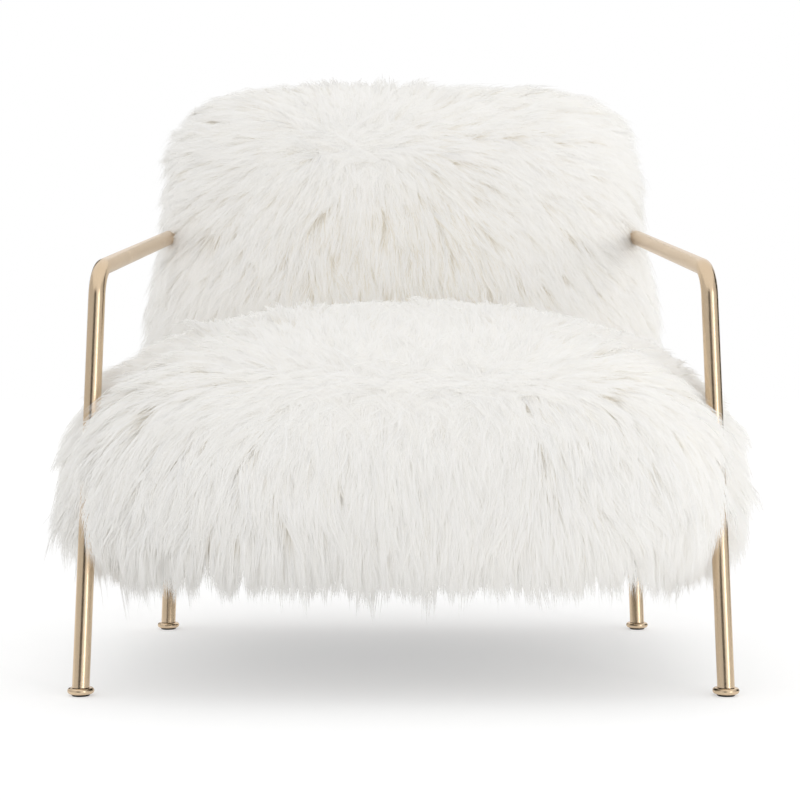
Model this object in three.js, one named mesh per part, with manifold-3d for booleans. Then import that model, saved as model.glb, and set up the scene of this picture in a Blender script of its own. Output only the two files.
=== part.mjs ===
// Lounge armchair: a bent tube frame that carries a plump seat and a plump back covered in fur
// Millimetres, +Z up, front towards -Y, left is -X, origin on the floor under the middle

import * as THREE from 'three';
import { mergeVertices } from 'three/addons/utils/BufferGeometryUtils.js';
import Module from 'manifold-3d';

const wasm = await Module();
wasm.setup();

// Frame tube
const tubeDiameter = 19.05;
const tubeWall = 1.5;
const bendRadius = 45;
const bendSteps = 8;
const rimSteps = 6;
const tubeSides = 16;
const furChannelSides = 10;

// Side frame: feet on the floor, corners of the centre line before they are rounded
const frontFootHalfSpan = 353;
const rearFootHalfSpan = 320;
const footSpacing = 489;
const frontCornerHeight = 470;
const frontCornerDepth = 88.5;
const rearCornerHeight = 548;

// Foot: a disc with a stud that screws into the leg, and a pad under it
const discDiameter = 29.3;
const discThickness = 6.8;
const studDiameter = 8;
const studLength = 20;
const studTipLength = 1;
const padDiameter = 20;
const padThickness = 3;
const padRecess = 0.8;
const insertLength = 12;
const footJointGap = 0.5;

// Clearances
const fitGap = 0.3;
const threadGap = 0.3;
const furGap = 3;
const cushionGap = 3;
const overrun = 1000;

// Cross rails: the seat's by height, the back's by distance up the rear legs
const seatRailHeight = 180;
const lowerBackRailHeight = 335;
const upperBackRailHeight = 508;

// Boards
const boardThickness = 12;
const seatBoardCornerRadius = 80;
const seatBoardSideGap = 34;
const seatBoardFrontLength = 64;
const seatBoardRearLength = 30;
const backBoardEdgeGap = 15;
const backBoardCornerRadius = 120;
const dustCoverThickness = 0.8;
const skirtTurnUnderWidth = 15;

// Bolts and tee nuts
const boltDiameter = 6;
const boltHeadDiameter = 12;
const boltHeadHeight = 3.4;
const boltSpacingShare = 0.66;
const nutFlangeDiameter = 18;
const nutFlangeThickness = 1.2;
const nutBarrelDiameter = 8.6;
const nutDepth = 9;
const boltHoleGap = 0.4;

// Both cushions: the foam blocks are flatter on the side of their boards
const foamBoardSideShape = 6;
const cushionHideThickness = 20;

// Seat cushion: a core of foam, and the depth of the fur over it
const seatCoreSideGap = 20;
const seatCoreNoseLength = 12;
const seatFoamHeight = 195;
const seatWidestHeight = 34;
const seatCornerShape = 4.4;
const seatCrownShape = 2.2;
const seatBellyShape = 2.8;
const seatFrontNarrowingShare = 0.067;
const seatFurSideDepth = 80;
const seatFurFrontDepth = 43;
const seatFurTopDepth = 42;
const seatFurRearDepth = 30;
const seatFurHangLength = 92;

// Back cushion: the same, standing along the rear legs
const backCoreSideGap = 8;
const backFoamDepth = 105;
const backStandOffGap = 15.3;
const backFoamTopHeight = 732;
const backCornerShape = 4.6;
const backCrownShape = 2.5;
const backFurSideDepth = 44;
const backFurFrontDepth = 42;
const backFurRearDepth = 35;
const backFurTopDepth = 40;
const backFurBottomDepth = 20;
const backPaddingDepth = 6;

// Worked out from the sizes above
const tubeRadius = tubeDiameter / 2;
const boreRadius = tubeRadius - tubeWall;
const rake = Math.atan2(frontCornerDepth, frontCornerHeight);
const toeIn = (frontFootHalfSpan - rearFootHalfSpan) / footSpacing;
const padStandOff = padThickness - padRecess;
const legEnd = padStandOff + discThickness + footJointGap;
const dustCoverBottom = seatRailHeight + tubeRadius + fitGap;
const seatBoardBottom = dustCoverBottom + dustCoverThickness + fitGap;
const seatBoardTop = seatBoardBottom + boardThickness;
const backFoamBottom = (seatBoardTop + backStandOffGap) / Math.cos(rake) + backFurBottomDepth;

// Depth of a leg's centre line at a height, and half span of the side frames at a depth
const legDepth = (footDepth, height) => footDepth + height * Math.tan(rake);
const halfSpan = (depth) => frontFootHalfSpan - depth * toeIn;

// Seat board, narrower towards the rear like the frame, and the bolts set in from its rear edge
const frontRailDepth = legDepth(0, seatRailHeight);
const rearRailDepth = legDepth(footSpacing, seatRailHeight);
const seatBoardFront = frontRailDepth - seatBoardFrontLength;
const seatBoardRear = rearRailDepth + seatBoardRearLength;
const boardHalf = (depth) => halfSpan(depth) - tubeRadius - seatBoardSideGap;
const boltHalfSpacing = boltSpacingShare * boardHalf(seatBoardRear);

// Centre line of a bent tube, with rings only at its ends and round its bends
class BentLine extends THREE.Curve {
  constructor(corners, radius, steps) {
    super();
    this.stations = [];
    corners.forEach((corner, i) => {
      const before = corners[i - 1];
      const after = corners[i + 1];
      const arriving = corner.clone().sub(before ?? corner).normalize();
      const leaving = (after ?? corner).clone().sub(corner).normalize();
      if (!before || !after) {
        this.stations.push({ point: corner, tangent: before ? arriving : leaving });
        return;
      }
      const turn = arriving.angleTo(leaving);
      const start = corner.clone().addScaledVector(arriving, -radius * Math.tan(turn / 2));
      const inward = leaving.clone().addScaledVector(arriving, -arriving.dot(leaving)).normalize();
      for (let k = 0; k <= steps; k++) {
        const angle = (turn * k) / steps;
        const point = start.clone()
          .addScaledVector(arriving, radius * Math.sin(angle))
          .addScaledVector(inward, radius * (1 - Math.cos(angle)));
        const tangent = arriving.clone().multiplyScalar(Math.cos(angle))
          .addScaledVector(inward, Math.sin(angle));
        this.stations.push({ point, tangent });
      }
    });
    this.steps = this.stations.length - 1;
  }

  station(share) {
    return this.stations[Math.round(share * this.steps)];
  }

  getPoint(share, target = new THREE.Vector3()) {
    return target.copy(this.station(share).point);
  }

  getPointAt(share, target) {
    return this.getPoint(share, target);
  }

  getTangent(share, target = new THREE.Vector3()) {
    return target.copy(this.station(share).tangent);
  }

  getTangentAt(share, target) {
    return this.getTangent(share, target);
  }
}

// A round tube or bar along a line
function tubeAlong(line, outerRadius, innerRadius = 0, around = tubeSides) {
  const section = new THREE.Shape();
  section.absarc(0, 0, outerRadius, 0, 2 * Math.PI, false);
  if (innerRadius > 0) {
    const bore = new THREE.Path();
    bore.absarc(0, 0, innerRadius, 0, 2 * Math.PI, true);
    section.holes.push(bore);
  }
  const options = { extrudePath: line, steps: line.steps, curveSegments: around / 2 };
  return new THREE.ExtrudeGeometry(section, options);
}

// A turned piece, from its outline [radius, height] read upwards
function turned(outline, sides) {
  const points = outline.map(([radius, height]) => new THREE.Vector2(radius, height));
  return new THREE.LatheGeometry(points, sides).rotateX(Math.PI / 2);
}

// A straight round bar standing on its base
function bar(radius, length, sides) {
  return new THREE.CylinderGeometry(radius, radius, length, sides)
    .rotateX(Math.PI / 2)
    .translate(0, 0, length / 2);
}

// A flat board from its rounded corners [x, y], lying on its underside
function board(corners, radius, thickness) {
  const outline = new THREE.Shape();
  corners.forEach((corner, i) => {
    const here = new THREE.Vector2(...corner);
    const before = new THREE.Vector2(...corners.at(i - 1));
    const after = new THREE.Vector2(...corners[(i + 1) % corners.length]);
    const entry = before.sub(here).setLength(radius).add(here);
    const exit = after.sub(here).setLength(radius).add(here);
    if (i === 0) {
      outline.moveTo(entry.x, entry.y);
    } else {
      outline.lineTo(entry.x, entry.y);
    }
    outline.quadraticCurveTo(here.x, here.y, exit.x, exit.y);
  });
  outline.closePath();
  return new THREE.ExtrudeGeometry(outline, {
    depth: thickness, bevelEnabled: false, curveSegments: 6,
  });
}

// A stuffed form round its widest level: a rounded outline, domed above and below
function puff(reach, outlineShape, upperShape, lowerShape, sides, rings) {
  const form = new THREE.SphereGeometry(1, sides, rings).rotateX(Math.PI / 2);
  const places = form.attributes.position;
  const at = new THREE.Vector3();
  for (let i = 0; i < places.count; i++) {
    at.fromBufferAttribute(places, i);
    const plan = (Math.abs(at.x) ** outlineShape + Math.abs(at.y) ** outlineShape)
      ** (1 / outlineShape);
    const shape = at.z > 0 ? upperShape : lowerShape;
    at.divideScalar((plan ** shape + Math.abs(at.z) ** shape) ** (1 / shape));
    at.x *= reach.side;
    at.y *= at.y < 0 ? reach.low : reach.high;
    at.z *= at.z < 0 ? reach.under : reach.over;
    places.setXYZ(i, at.x, at.y, at.z);
  }
  return form;
}

// A closed geometry as a solid that can be cut, and back again
function solidOf(geometry) {
  const bare = new THREE.BufferGeometry();
  bare.setAttribute('position', geometry.attributes.position.clone());
  bare.setIndex(geometry.index ? geometry.index.clone() : null);
  const welded = mergeVertices(bare);
  return new wasm.Manifold(new wasm.Mesh({
    numProp: 3,
    vertProperties: new Float32Array(welded.attributes.position.array),
    triVerts: new Uint32Array(welded.index.array),
  }));
}

function geometryOf(solid) {
  const mesh = solid.getMesh();
  const geometry = new THREE.BufferGeometry();
  geometry.setAttribute('position', new THREE.BufferAttribute(mesh.vertProperties, 3));
  geometry.setIndex(new THREE.BufferAttribute(mesh.triVerts, 1));
  geometry.computeVertexNormals();
  return geometry;
}

// A form with others cut out of it
function cut(form, ...tools) {
  return geometryOf(tools.reduce((solid, tool) => solid.subtract(solidOf(tool)), solidOf(form)));
}

// Everything below a height
function below(height) {
  return new THREE.BoxGeometry(2 * overrun, 2 * overrun, overrun)
    .translate(0, 0, height - overrun / 2);
}

const mirrored = (side, [x, y, z]) => new THREE.Vector3(side * x, y, z);
const sides = [['left', -1], ['right', 1]];

// Materials
const satinBrass = new THREE.MeshStandardMaterial({
  color: 0xc3a27c, metalness: 1, roughness: 0.34,
});
const rubber = new THREE.MeshStandardMaterial({ color: 0x161514, metalness: 0, roughness: 0.8 });
const steel = new THREE.MeshStandardMaterial({ color: 0xa9a9a6, metalness: 1, roughness: 0.4 });
const plywood = new THREE.MeshStandardMaterial({ color: 0xc9a877, metalness: 0, roughness: 0.7 });
const foam = new THREE.MeshStandardMaterial({ color: 0xe6dfc9, metalness: 0, roughness: 0.95 });
const fur = new THREE.MeshStandardMaterial({ color: 0xf2efe9, metalness: 0, roughness: 0.9 });
const cloth = new THREE.MeshStandardMaterial({ color: 0x23211f, metalness: 0, roughness: 0.95 });

const chair = new THREE.Group();

function add(name, geometry, material, parent = chair) {
  const mesh = new THREE.Mesh(geometry, material.clone());
  mesh.name = name;
  parent.add(mesh);
  return mesh;
}

// Side frames: each is one bent tube, cut level where it meets its foot discs
const rearCornerDepth = legDepth(footSpacing, rearCornerHeight);
const sideCorners = [
  [halfSpan(legDepth(0, -studLength)), legDepth(0, -studLength), -studLength],
  [halfSpan(frontCornerDepth), frontCornerDepth, frontCornerHeight],
  [halfSpan(rearCornerDepth), rearCornerDepth, rearCornerHeight],
  [halfSpan(legDepth(footSpacing, -studLength)),
    legDepth(footSpacing, -studLength), -studLength],
];
const sideLine = (side) => new BentLine(
  sideCorners.map((corner) => mirrored(side, corner)), bendRadius, bendSteps,
);
const frameEnvelope = (gap, around) => sides.map(([, side]) => (
  tubeAlong(sideLine(side), tubeRadius + gap, 0, around)));

for (const [hand, side] of sides) {
  const tube = tubeAlong(sideLine(side), tubeRadius, boreRadius);
  add(`side_frame_${hand}`, cut(tube, below(legEnd)), satinBrass);
}

// Cross rails, coped to the legs and drilled for the bolts
function crossBar(radius, halfLength, around = tubeSides) {
  return bar(radius, 2 * halfLength, around).translate(0, 0, -halfLength).rotateY(Math.PI / 2);
}

function crossRail(halfLength) {
  const drill = (side) => bar(boltDiameter / 2 + boltHoleGap, tubeDiameter + 2 * fitGap, tubeSides)
    .translate(side * boltHalfSpacing, 0, -tubeRadius - fitGap);
  return cut(crossBar(tubeRadius, halfLength), crossBar(boreRadius, halfLength + tubeDiameter),
    drill(-1), drill(1));
}

// The back's own frame: Y runs up the rear legs, Z out of the front of the back
const back = new THREE.Group();
back.position.set(0, footSpacing, 0);
back.rotation.set(Math.PI / 2 - rake, 0, 0);
back.updateMatrix();
chair.add(back);
const toBack = back.matrix.clone().invert();
const inBack = (geometry) => geometry.applyMatrix4(toBack);
const fromBack = (geometry) => geometry.applyMatrix4(back.matrix);

const seatRails = [['front', frontRailDepth], ['rear', rearRailDepth]];
const backRails = [['lower', lowerBackRailHeight], ['upper', upperBackRailHeight]];

for (const [place, depth] of seatRails) {
  const rail = crossRail(halfSpan(depth)).translate(0, depth, seatRailHeight);
  add(`seat_rail_${place}`, cut(rail, ...frameEnvelope(fitGap)), satinBrass);
}

for (const [place, reach] of backRails) {
  const depth = footSpacing + reach * Math.sin(rake);
  const rail = crossRail(halfSpan(depth)).translate(0, reach, 0);
  const legs = frameEnvelope(fitGap).map(inBack);
  add(`back_rail_${place}`, cut(rail, ...legs), satinBrass, back);
}

// Bolts that enter from beyond the rail, and tee nuts sunk in the board that they pull on
const nutBore = boltDiameter / 2 + threadGap;
const boltShank = fitGap + tubeDiameter + fitGap + dustCoverThickness + fitGap
  + boardThickness - 2 * nutFlangeThickness;
const boltOutline = [
  [0, -boltHeadHeight],
  [boltHeadDiameter * 0.38, -boltHeadHeight],
  [boltHeadDiameter / 2, -boltHeadHeight * 0.55],
  [boltHeadDiameter / 2, 0],
  [boltDiameter / 2, 0],
  [boltDiameter / 2, boltShank],
  [0, boltShank],
];
const nutOutline = [
  [nutBore, -nutDepth],
  [nutBarrelDiameter / 2, -nutDepth],
  [nutBarrelDiameter / 2, -nutFlangeThickness],
  [nutFlangeDiameter / 2, -nutFlangeThickness],
  [nutFlangeDiameter / 2, 0],
  [nutBore, 0],
  [nutBore, -nutDepth],
];

// A hole through the board with a recess for the nut's flange, from the board's top face
function nutPocket() {
  const shaft = bar(nutBarrelDiameter / 2 + fitGap, boardThickness + 2 * fitGap, tubeSides)
    .translate(0, 0, -boardThickness - fitGap);
  const recess = bar(nutFlangeDiameter / 2 + fitGap, nutFlangeThickness + 2 * fitGap, tubeSides)
    .translate(0, 0, -nutFlangeThickness - fitGap);
  return geometryOf(solidOf(shaft).add(solidOf(recess)));
}

// Seat board and dust cover
function seatOutline(inset, thickness) {
  const front = seatBoardFront + inset;
  const rear = seatBoardRear - inset;
  return board([
    [-boardHalf(front) + inset, front], [boardHalf(front) - inset, front],
    [boardHalf(rear) - inset, rear], [-boardHalf(rear) + inset, rear],
  ], seatBoardCornerRadius, thickness);
}

const seatBolts = seatRails.flatMap(([place, depth]) => sides.map(([hand, side]) => (
  { name: `${place}_${hand}`, x: side * boltHalfSpacing, y: depth })));
const seatPockets = seatBolts.map(({ x, y }) => nutPocket().translate(x, y, seatBoardTop));
const dustHoles = seatBolts.map(({ x, y }) => (
  bar(nutBarrelDiameter / 2, boardThickness, tubeSides).translate(x, y, dustCoverBottom - fitGap)));

add('seat_board', cut(seatOutline(0, boardThickness).translate(0, 0, seatBoardBottom),
  ...seatPockets), plywood);
add('seat_dust_cover', cut(seatOutline(skirtTurnUnderWidth + fitGap, dustCoverThickness)
  .translate(0, 0, dustCoverBottom), ...dustHoles), cloth);

for (const { name, x, y } of seatBolts) {
  add(`seat_bolt_${name}`, turned(boltOutline, 12), steel)
    .position.set(x, y, seatRailHeight - tubeRadius - fitGap);
  add(`seat_nut_${name}`, turned(nutOutline, 12), steel)
    .position.set(x, y, seatBoardTop - fitGap / 2);
}

// Back board, on the front of the back rails
const backBoardRear = tubeRadius + dustCoverThickness + 2 * fitGap;
const backBoardFront = backBoardRear + boardThickness;
const backCoreHalf = halfSpan(rearCornerDepth) - tubeRadius - backCoreSideGap;
const backBoardHalf = backCoreHalf - backBoardEdgeGap;
const backBoardBottom = backFoamBottom + backBoardEdgeGap;
const backBoardTop = backFoamTopHeight - backBoardEdgeGap;
const backBolts = backRails.flatMap(([place, reach]) => sides.map(([hand, side]) => (
  { name: `${place}_${hand}`, x: side * boltHalfSpacing, y: reach })));
const backPockets = backBolts.map(({ x, y }) => nutPocket().translate(x, y, backBoardFront));

add('back_board', cut(board([
  [-backBoardHalf, backBoardBottom], [backBoardHalf, backBoardBottom],
  [backBoardHalf, backBoardTop], [-backBoardHalf, backBoardTop],
], backBoardCornerRadius, boardThickness).translate(0, 0, backBoardRear), ...backPockets),
plywood, back);

for (const { name, x, y } of backBolts) {
  add(`back_bolt_${name}`, turned(boltOutline, 12), steel, back)
    .position.set(x, y, -tubeRadius - fitGap);
  add(`back_nut_${name}`, turned(nutOutline, 12), steel, back)
    .position.set(x, y, backBoardFront - fitGap / 2);
}

// Back cushion: foam in front of the board, fur all round
const backMiddle = (backFoamBottom + backFoamTopHeight) / 2;
const backCoreLength = (backFoamTopHeight - backFoamBottom) / 2;

function backCore(gap) {
  return puff({
    side: backCoreHalf + gap,
    low: backCoreLength + gap,
    high: backCoreLength + gap,
    over: backFoamDepth + gap,
    under: backBoardFront + tubeRadius + boltHeadHeight + backPaddingDepth + gap,
  }, backCornerShape, backCrownShape, foamBoardSideShape, 28, 12)
    .translate(0, backMiddle, backBoardFront);
}

function backSkin(gap) {
  return puff({
    side: backCoreHalf + backFurSideDepth + gap,
    low: backCoreLength + backFurBottomDepth + gap,
    high: backCoreLength + backFurTopDepth + gap,
    over: backFoamDepth + backFurFrontDepth + gap,
    under: backBoardFront + tubeRadius + backFurRearDepth + gap,
  }, backCornerShape, backCrownShape, backCrownShape, 32, 14)
    .translate(0, backMiddle, backBoardFront);
}

const backRailEnvelopes = backRails.map(([, reach]) => (
  crossBar(tubeRadius + furGap, rearFootHalfSpan, furChannelSides).translate(0, reach, 0)));

add('back_foam', cut(backCore(-fitGap), below(backBoardFront + fitGap)), foam, back);
add('back_cover', cut(backSkin(0), backCore(fitGap), ...backRailEnvelopes,
  ...frameEnvelope(furGap, furChannelSides).map(inBack)), fur, back);

// Seat cushion: foam on the board, fur all round and hanging past the board as a skirt
const seatCoreHalf = halfSpan(0) - tubeRadius - seatCoreSideGap;
const seatCoreFront = seatBoardFront - seatCoreNoseLength;
const seatMiddle = (seatCoreFront + seatBoardRear) / 2;
const seatCoreLength = (seatBoardRear - seatCoreFront) / 2;
const seatWidest = seatBoardTop + seatWidestHeight;

// The front of the seat is a little narrower than its middle
function narrowFront(form) {
  const places = form.attributes.position;
  for (let i = 0; i < places.count; i++) {
    const ahead = THREE.MathUtils.smoothstep(-places.getY(i), -frontCornerDepth, 0);
    places.setX(i, places.getX(i) * (1 - seatFrontNarrowingShare * ahead));
  }
  return form;
}

function seatCore(gap) {
  return puff({
    side: seatCoreHalf + gap,
    low: seatCoreLength + gap,
    high: seatCoreLength + gap,
    over: seatFoamHeight - seatWidestHeight + gap,
    under: seatWidestHeight + boardThickness + gap,
  }, seatCornerShape, seatCrownShape, foamBoardSideShape, 24, 10)
    .translate(0, seatMiddle, seatWidest);
}

function seatSkin() {
  return narrowFront(puff({
    side: seatCoreHalf + seatFurSideDepth,
    low: seatCoreLength + seatFurFrontDepth,
    high: seatCoreLength + seatFurRearDepth,
    over: seatFoamHeight - seatWidestHeight + seatFurTopDepth,
    under: seatWidestHeight + boardThickness + seatFurHangLength,
  }, seatCornerShape, seatCrownShape, seatBellyShape, 32, 14)
    .translate(0, seatMiddle, seatWidest));
}

// Everything behind the plane, parallel to the back, where the seat's foam ends
function behindSeat(gap) {
  const plane = backBoardFront + backFoamDepth + backFurFrontDepth + cushionGap
    + cushionHideThickness - gap;
  return fromBack(new THREE.BoxGeometry(2 * overrun, 2 * overrun, overrun)
    .translate(0, 0, plane - overrun / 2));
}

const seatRailEnvelopes = seatRails.map(([, depth]) => (
  crossBar(tubeRadius + furGap, frontFootHalfSpan, furChannelSides)
    .translate(0, depth, seatRailHeight)));
const seatBoardPocket = seatOutline(-fitGap, boardThickness + 2 * fitGap)
  .translate(0, 0, seatBoardBottom - fitGap);
const skirtOpening = seatOutline(skirtTurnUnderWidth, overrun)
  .translate(0, 0, seatBoardBottom - overrun);

add('seat_foam', cut(seatCore(-fitGap), below(seatBoardTop + fitGap), behindSeat(0)), foam);
add('seat_cover', cut(seatSkin(), cut(seatCore(fitGap), behindSeat(fitGap)),
  seatBoardPocket, skirtOpening, ...seatRailEnvelopes,
  fromBack(backSkin(cushionGap)), ...frameEnvelope(furGap, furChannelSides)), fur);

// Feet: threaded insert in the leg, disc with its stud, and pad
const rimRadius = discThickness / 2;
const rimArc = Array.from({ length: rimSteps + 1 }, (_, i) => {
  const angle = -Math.PI / 2 + (Math.PI * i) / rimSteps;
  return [discDiameter / 2 - rimRadius + rimRadius * Math.cos(angle),
    padStandOff + rimRadius + rimRadius * Math.sin(angle)];
});
const studTop = padStandOff + discThickness + studLength;
const discOutline = [
  [0, padThickness + fitGap],
  [padDiameter / 2 + fitGap, padThickness + fitGap],
  [padDiameter / 2 + fitGap, padStandOff],
  ...rimArc,
  [studDiameter / 2, padStandOff + discThickness],
  [studDiameter / 2, studTop - studTipLength],
  [studDiameter / 2 - studTipLength, studTop],
  [0, studTop],
];
const padOutline = [
  [0, 0],
  [padDiameter / 2 - padRecess, 0],
  [padDiameter / 2, padRecess],
  [padDiameter / 2, padThickness],
  [0, padThickness],
];

for (const [place, footDepth] of [['front', 0], ['rear', footSpacing]]) {
  for (const [hand, side] of sides) {
    const name = `${place}_${hand}`;
    const depth = legDepth(footDepth, legEnd);
    const foot = new THREE.Group();
    foot.position.set(side * halfSpan(depth), depth, 0);
    foot.updateMatrix();
    chair.add(foot);
    const toFoot = foot.matrix.clone().invert();
    const plug = tubeAlong(sideLine(side), boreRadius - fitGap).applyMatrix4(toFoot);
    const above = new THREE.BoxGeometry(2 * overrun, 2 * overrun, overrun)
      .translate(0, 0, legEnd + insertLength + overrun / 2);
    const otherLeg = new THREE.BoxGeometry(2 * overrun, overrun, overrun)
      .translate(0, (footDepth ? -1 : 1) * (overrun / 2 + footSpacing / 2), 0);
    const bore = bar(studDiameter / 2 + threadGap, legEnd + 2 * insertLength, tubeSides);
    add(`leg_insert_${name}`, cut(plug, below(legEnd), above, otherLeg, bore), steel, foot);
    add(`glide_disc_${name}`, turned(discOutline, 20), satinBrass, foot);
    add(`glide_pad_${name}`, turned(padOutline, 20), rubber, foot);
  }
}

// Origin on the floor under the middle of the chair
const box = new THREE.Box3().setFromObject(chair, true);
chair.position.set(-(box.min.x + box.max.x) / 2, -(box.min.y + box.max.y) / 2, -box.min.z);

export default chair;
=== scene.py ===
"""Lounge armchair: a plump seat and back in long white fur on a bent tube frame in satin brass.

Metres, +Z up, front towards -Y, left is -X, as the frame has them.
"""

import math
from types import SimpleNamespace

import bmesh
import bpy
import numpy as np
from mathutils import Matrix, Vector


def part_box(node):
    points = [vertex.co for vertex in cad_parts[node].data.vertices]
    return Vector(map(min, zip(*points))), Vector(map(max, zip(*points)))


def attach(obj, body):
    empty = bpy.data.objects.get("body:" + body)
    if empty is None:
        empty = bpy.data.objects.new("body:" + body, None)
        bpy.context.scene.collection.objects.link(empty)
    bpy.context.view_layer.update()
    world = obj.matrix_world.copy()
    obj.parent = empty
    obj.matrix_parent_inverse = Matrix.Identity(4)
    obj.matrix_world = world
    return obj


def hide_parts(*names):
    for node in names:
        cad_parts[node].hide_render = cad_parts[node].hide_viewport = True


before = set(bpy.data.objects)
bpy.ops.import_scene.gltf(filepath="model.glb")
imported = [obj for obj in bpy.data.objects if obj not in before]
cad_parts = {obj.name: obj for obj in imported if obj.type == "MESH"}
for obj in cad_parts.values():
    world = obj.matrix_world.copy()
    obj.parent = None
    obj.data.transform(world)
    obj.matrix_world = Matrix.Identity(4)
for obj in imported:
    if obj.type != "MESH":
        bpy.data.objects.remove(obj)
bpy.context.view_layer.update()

# Driving sizes of the frame and its feet
TUBE_RADIUS = 0.01905 / 2
TUBE_WALL = 0.0015
BEND_RADIUS = 0.045
FRONT_HALF_SPAN = 0.353
REAR_HALF_SPAN = 0.320
FOOT_SPACING = 0.489
ARM_FRONT_DEPTH = 0.0885
ARM_FRONT_HEIGHT = 0.470
ARM_REAR_HEIGHT = 0.548
DISC_RADIUS = 0.01465
DISC_THICKNESS = 0.0068
STUD_RADIUS = 0.004
STUD_LENGTH = 0.020
STUD_TIP = 0.001
PAD_RADIUS = 0.010
PAD_THICKNESS = 0.0030
PAD_RECESS = 0.0008
FOOT_JOINT = 0.0005
FIT_GAP = 0.0003

RAKE = math.atan2(ARM_FRONT_DEPTH, ARM_FRONT_HEIGHT)
LEAN = math.tan(RAKE)
TOE_IN = (FRONT_HALF_SPAN - REAR_HALF_SPAN) / FOOT_SPACING
DISC_BOTTOM = PAD_THICKNESS - PAD_RECESS
LEG_END = DISC_BOTTOM + DISC_THICKNESS + FOOT_JOINT

# Where the front feet stand in the frame: their pads sit where the raked legs end
pad_low, pad_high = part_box("glide_pad_front_left")
FRONT = (pad_low.y + pad_high.y) / 2 - LEG_END * LEAN

board_low, board_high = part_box("seat_board")
dust_low, dust_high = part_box("seat_dust_cover")

SIDES = (("left", -1), ("right", 1))
DOWN = np.array([0.0, 0.0, -1.0])
SHARP_EDGE = math.radians(35)
TINY = 1e-12
SEED = 20


# Vector and number helpers

def unit(vectors):
    """Each vector divided by its length."""
    return vectors / np.maximum(np.linalg.norm(vectors, axis=-1, keepdims=True), TINY)


def dot(a, b):
    """The scalar product along the last axis, which is kept."""
    return (a * b).sum(axis=-1, keepdims=True)


def along(surface_normals, vectors):
    """The share of each vector that lies in the plane across the normal."""
    return vectors - dot(vectors, surface_normals) * surface_normals


def ease(value, low, high):
    """0 at low, 1 at high, and 3t^2 - 2t^3 between them."""
    t = np.clip((value - low) / (high - low), 0, 1)
    return t * t * (3 - 2 * t)


def graded(value, span, ends):
    """The first end before a span, the second after it, eased between them."""
    first, second = ends
    return first + (second - first) * ease(value, *span)


def ripple(points, length, seed, count=9):
    """A smooth random field with a spread of about 1: plane waves of one length, any heading."""
    rng = np.random.default_rng(seed)
    headings = unit(rng.normal(size=(count, 3))) * (2 * math.pi / length)
    phases = rng.uniform(0, 2 * math.pi, count)
    return np.sin(points @ headings.T + phases).sum(axis=-1) * math.sqrt(2 / count)


def way_from(start, end, points):
    """The shortest way from a straight line between two places to each point."""
    line = end - start
    share = np.clip((points - start) @ line / (line @ line), 0, 1)
    return points - (start + share[..., None] * line)


# Meshes from arrays

def make_mesh(name, points, faces, finish):
    """A piece from its points and arrays of faces, each array with one number of corners."""
    corners = np.concatenate([part.ravel() for part in faces]).astype(np.int32)
    sizes = np.concatenate([np.full(len(part), part.shape[1]) for part in faces])
    starts = np.concatenate([[0], np.cumsum(sizes)[:-1]]).astype(np.int32)
    mesh = bpy.data.meshes.new(name)
    mesh.vertices.add(len(points))
    mesh.vertices.foreach_set("co", points.astype(np.float32).ravel())
    mesh.loops.add(len(corners))
    mesh.loops.foreach_set("vertex_index", corners)
    mesh.polygons.add(len(sizes))
    mesh.polygons.foreach_set("loop_start", starts)
    mesh.polygons.foreach_set("use_smooth", np.ones(len(sizes), bool))
    mesh.update(calc_edges=True)
    mesh.materials.append(finish)
    piece = bpy.data.objects.new(name, mesh)
    bpy.context.scene.collection.objects.link(piece)
    return piece


def ring_faces(rows, columns, wrap_rows):
    """Four-cornered faces between rings of points, and from the last to the first if it wraps."""
    row = np.arange(rows if wrap_rows else rows - 1)
    i, j = np.meshgrid(row, np.arange(columns), indexing="ij")
    after_i = (i + 1) % rows
    after_j = (j + 1) % columns
    corners = [i * columns + j, after_i * columns + j,
               after_i * columns + after_j, i * columns + after_j]
    return np.stack(corners, axis=-1).reshape(-1, 4)


def enclosed_volume(points, quads):
    """A sixth of the sum of the corner products of each face's two triangles."""
    a, b, c, d = (points[quads[:, k]] for k in range(4))
    return (np.cross(a, b) * c + np.cross(a, c) * d).sum() / 6


def closed_piece(name, grid, finish, wrap_rows=False, sharp=False):
    """A closed body from rings of points: faces turned outwards, poles merged."""
    rows, columns = grid.shape[:2]
    points = grid.reshape(-1, 3)
    quads = ring_faces(rows, columns, wrap_rows)
    if enclosed_volume(points, quads) < 0:
        quads = quads[:, ::-1]
    piece = make_mesh(name, points, [quads], finish)
    shell = bmesh.new()
    shell.from_mesh(piece.data)
    bmesh.ops.remove_doubles(shell, verts=shell.verts, dist=1e-6)
    bmesh.ops.dissolve_degenerate(shell, edges=shell.edges, dist=1e-7)
    shell.to_mesh(piece.data)
    shell.free()
    if sharp:
        piece.data.set_sharp_from_angle(angle=SHARP_EDGE)
    return piece


# Materials

PLY_THICKNESS = 0.0015
BRASS_DEEP = (0.70, 0.54, 0.37)
BRASS_LIGHT = (0.75, 0.59, 0.415)
# Root colour: partly the fur's own creamy tone, partly painted shade for the warm depths of the fur
FUR_ROOT_TONE_AND_SHADE = (0.765, 0.725, 0.645)
FUR_WHITE_WARM = (0.84, 0.83, 0.805)
FUR_WHITE_COOL = (0.86, 0.855, 0.845)
FUR_TONE_AND_SHADE_SHARE = 0.5
FUR_TRANSLUCENCE = 0.15
FUR_LANES = 64
LANE_SIDES = (0.1, 0.9)
FUR_MAP = "OFBake"


class Amount:
    """A number that varies over a surface: arithmetic on it adds Math nodes."""

    def __init__(self, finish, socket):
        self.finish = finish
        self.socket = socket

    def worked(self, operation, other):
        return self.finish.add("ShaderNodeMath", {"operation": operation}, {0: self, 1: other})

    def __add__(self, other):
        return self.worked("ADD", other)

    def __mul__(self, other):
        return self.worked("MULTIPLY", other)

    __radd__ = __add__
    __rmul__ = __mul__


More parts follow.
